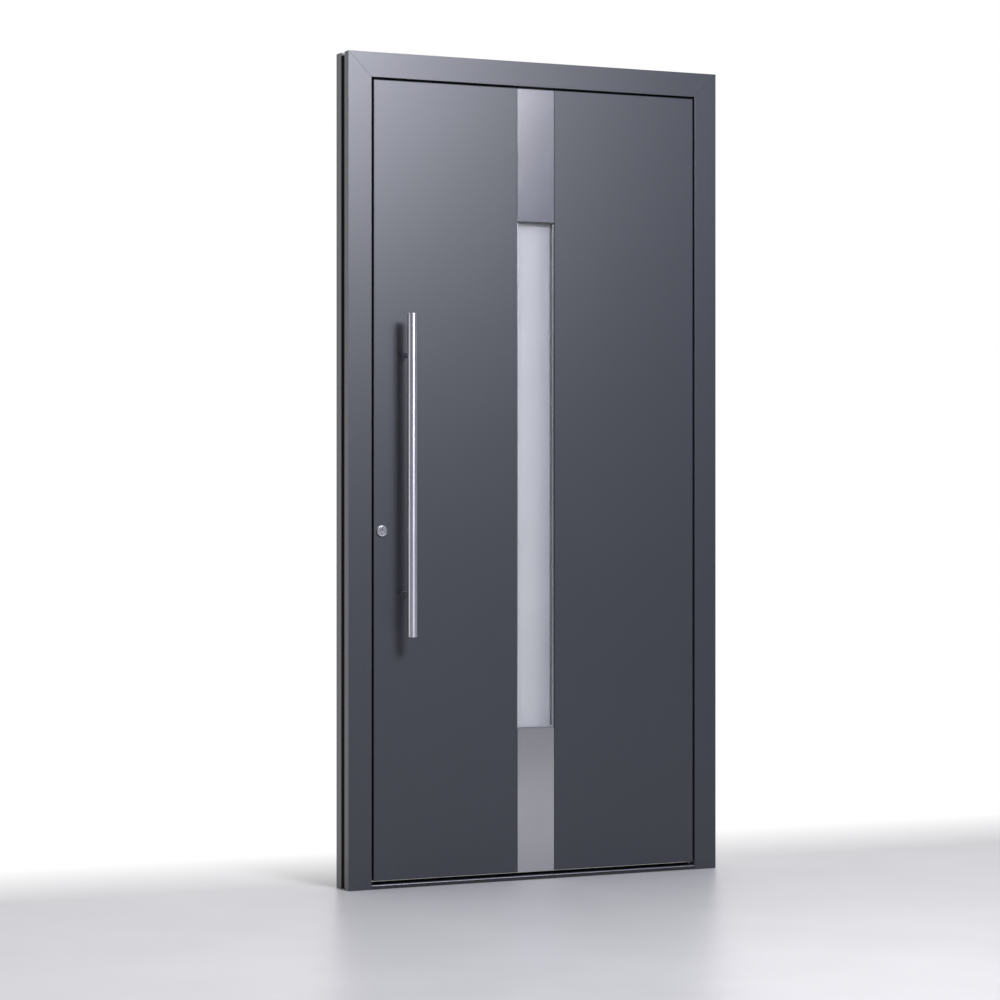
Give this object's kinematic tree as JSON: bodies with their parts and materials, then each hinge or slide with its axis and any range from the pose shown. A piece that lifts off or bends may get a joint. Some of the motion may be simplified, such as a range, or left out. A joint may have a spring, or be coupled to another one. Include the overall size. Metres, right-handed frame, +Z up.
{
  "type": "aluminium front door",
  "caption": "Flush aluminium front door in its frame: inward-opening leaf with a frosted glass slot between steel plates, long pull bar, lock and low threshold.",
  "frame": {"origin": "middle of the threshold's underside, halfway through the frame's depth", "axes": "+X from the lock side to the hinge side, +Y from outside to inside, +Z up"},
  "size_m": [1.048, 0.2173, 2.1],
  "materials": {
    "anthracite_profile": "satin powder coat, anthracite",
    "anthracite_sheet": "satin powder coat, anthracite",
    "brushed_steel": "brushed along its length",
    "polished_steel": "fine satin, near polished",
    "frosted_glass": "frosted, slightly blue",
    "black_rubber": "matt",
    "polyamide": "matt",
    "insulation": "graphite foam",
    "bare_aluminium": "anodised"
  },
  "bodies": {
    "frame": {"left_jamb_outer_profile": "anthracite_profile", "left_jamb_thermal_break": "polyamide", "left_jamb_inner_profile": "anthracite_profile", "right_jamb_outer_profile": "anthracite_profile", "right_jamb_thermal_break": "polyamide", "right_jamb_inner_profile": "anthracite_profile", "head_outer_profile": "anthracite_profile", "head_thermal_break": "polyamide", "head_inner_profile": "anthracite_profile", "frame_gasket": "black_rubber", "threshold_nose": "bare_aluminium", "threshold_base": "polyamide", "threshold_inner_rail": "bare_aluminium", "threshold_gasket": "black_rubber", "strike_plate": "brushed_steel", "lower_hinge_frame_half": "anthracite_profile", "middle_hinge_frame_half": "anthracite_profile", "upper_hinge_frame_half": "anthracite_profile", "lower_hinge_pin": "polished_steel", "middle_hinge_pin": "polished_steel", "upper_hinge_pin": "polished_steel"},
    "leaf": {"lock_stile": "anthracite_profile", "hinge_stile": "anthracite_profile", "top_rail": "anthracite_profile", "bottom_rail": "anthracite_profile", "left_outer_skin": "anthracite_sheet", "right_outer_skin": "anthracite_sheet", "top_strip_plate": "brushed_steel", "bottom_strip_plate": "brushed_steel", "inner_skin": "anthracite_sheet", "leaf_core": "insulation", "outer_glass_pane": "frosted_glass", "inner_glass_pane": "frosted_glass", "glass_spacer": "black_rubber", "outer_slot_trim": "brushed_steel", "inner_slot_trim": "anthracite_profile", "bottom_seal": "black_rubber", "lock_faceplate": "brushed_steel", "latch_bolt": "polished_steel", "dead_bolt": "polished_steel", "lower_hook_bolt": "polished_steel", "upper_hook_bolt": "polished_steel", "lock_cylinder": "polished_steel", "outer_rosette": "brushed_steel", "inner_rosette": "brushed_steel", "lever_rose": "brushed_steel", "lever_handle": "brushed_steel", "pull_bar": "polished_steel", "lower_pull_post": "polished_steel", "upper_pull_post": "polished_steel", "lower_hinge_leaf_half": "anthracite_profile", "middle_hinge_leaf_half": "anthracite_profile", "upper_hinge_leaf_half": "anthracite_profile"},
    "key_plug": {"key_plug": "polished_steel"}
  },
  "joints": [
    {"name": "leaf_swing", "type": "hinge", "parent": "frame", "child": "leaf", "pos_m": [0.48025, 0.0525, 1.05], "axis": [0, 0, -1], "range_deg": [0, 100]},
    {"name": "key_plug_turn", "type": "hinge", "parent": "leaf", "child": "key_plug", "pos_m": [-0.4341, -0.0445, 0.9024], "axis": [0, 1, 0], "continuous": true}
  ]
}
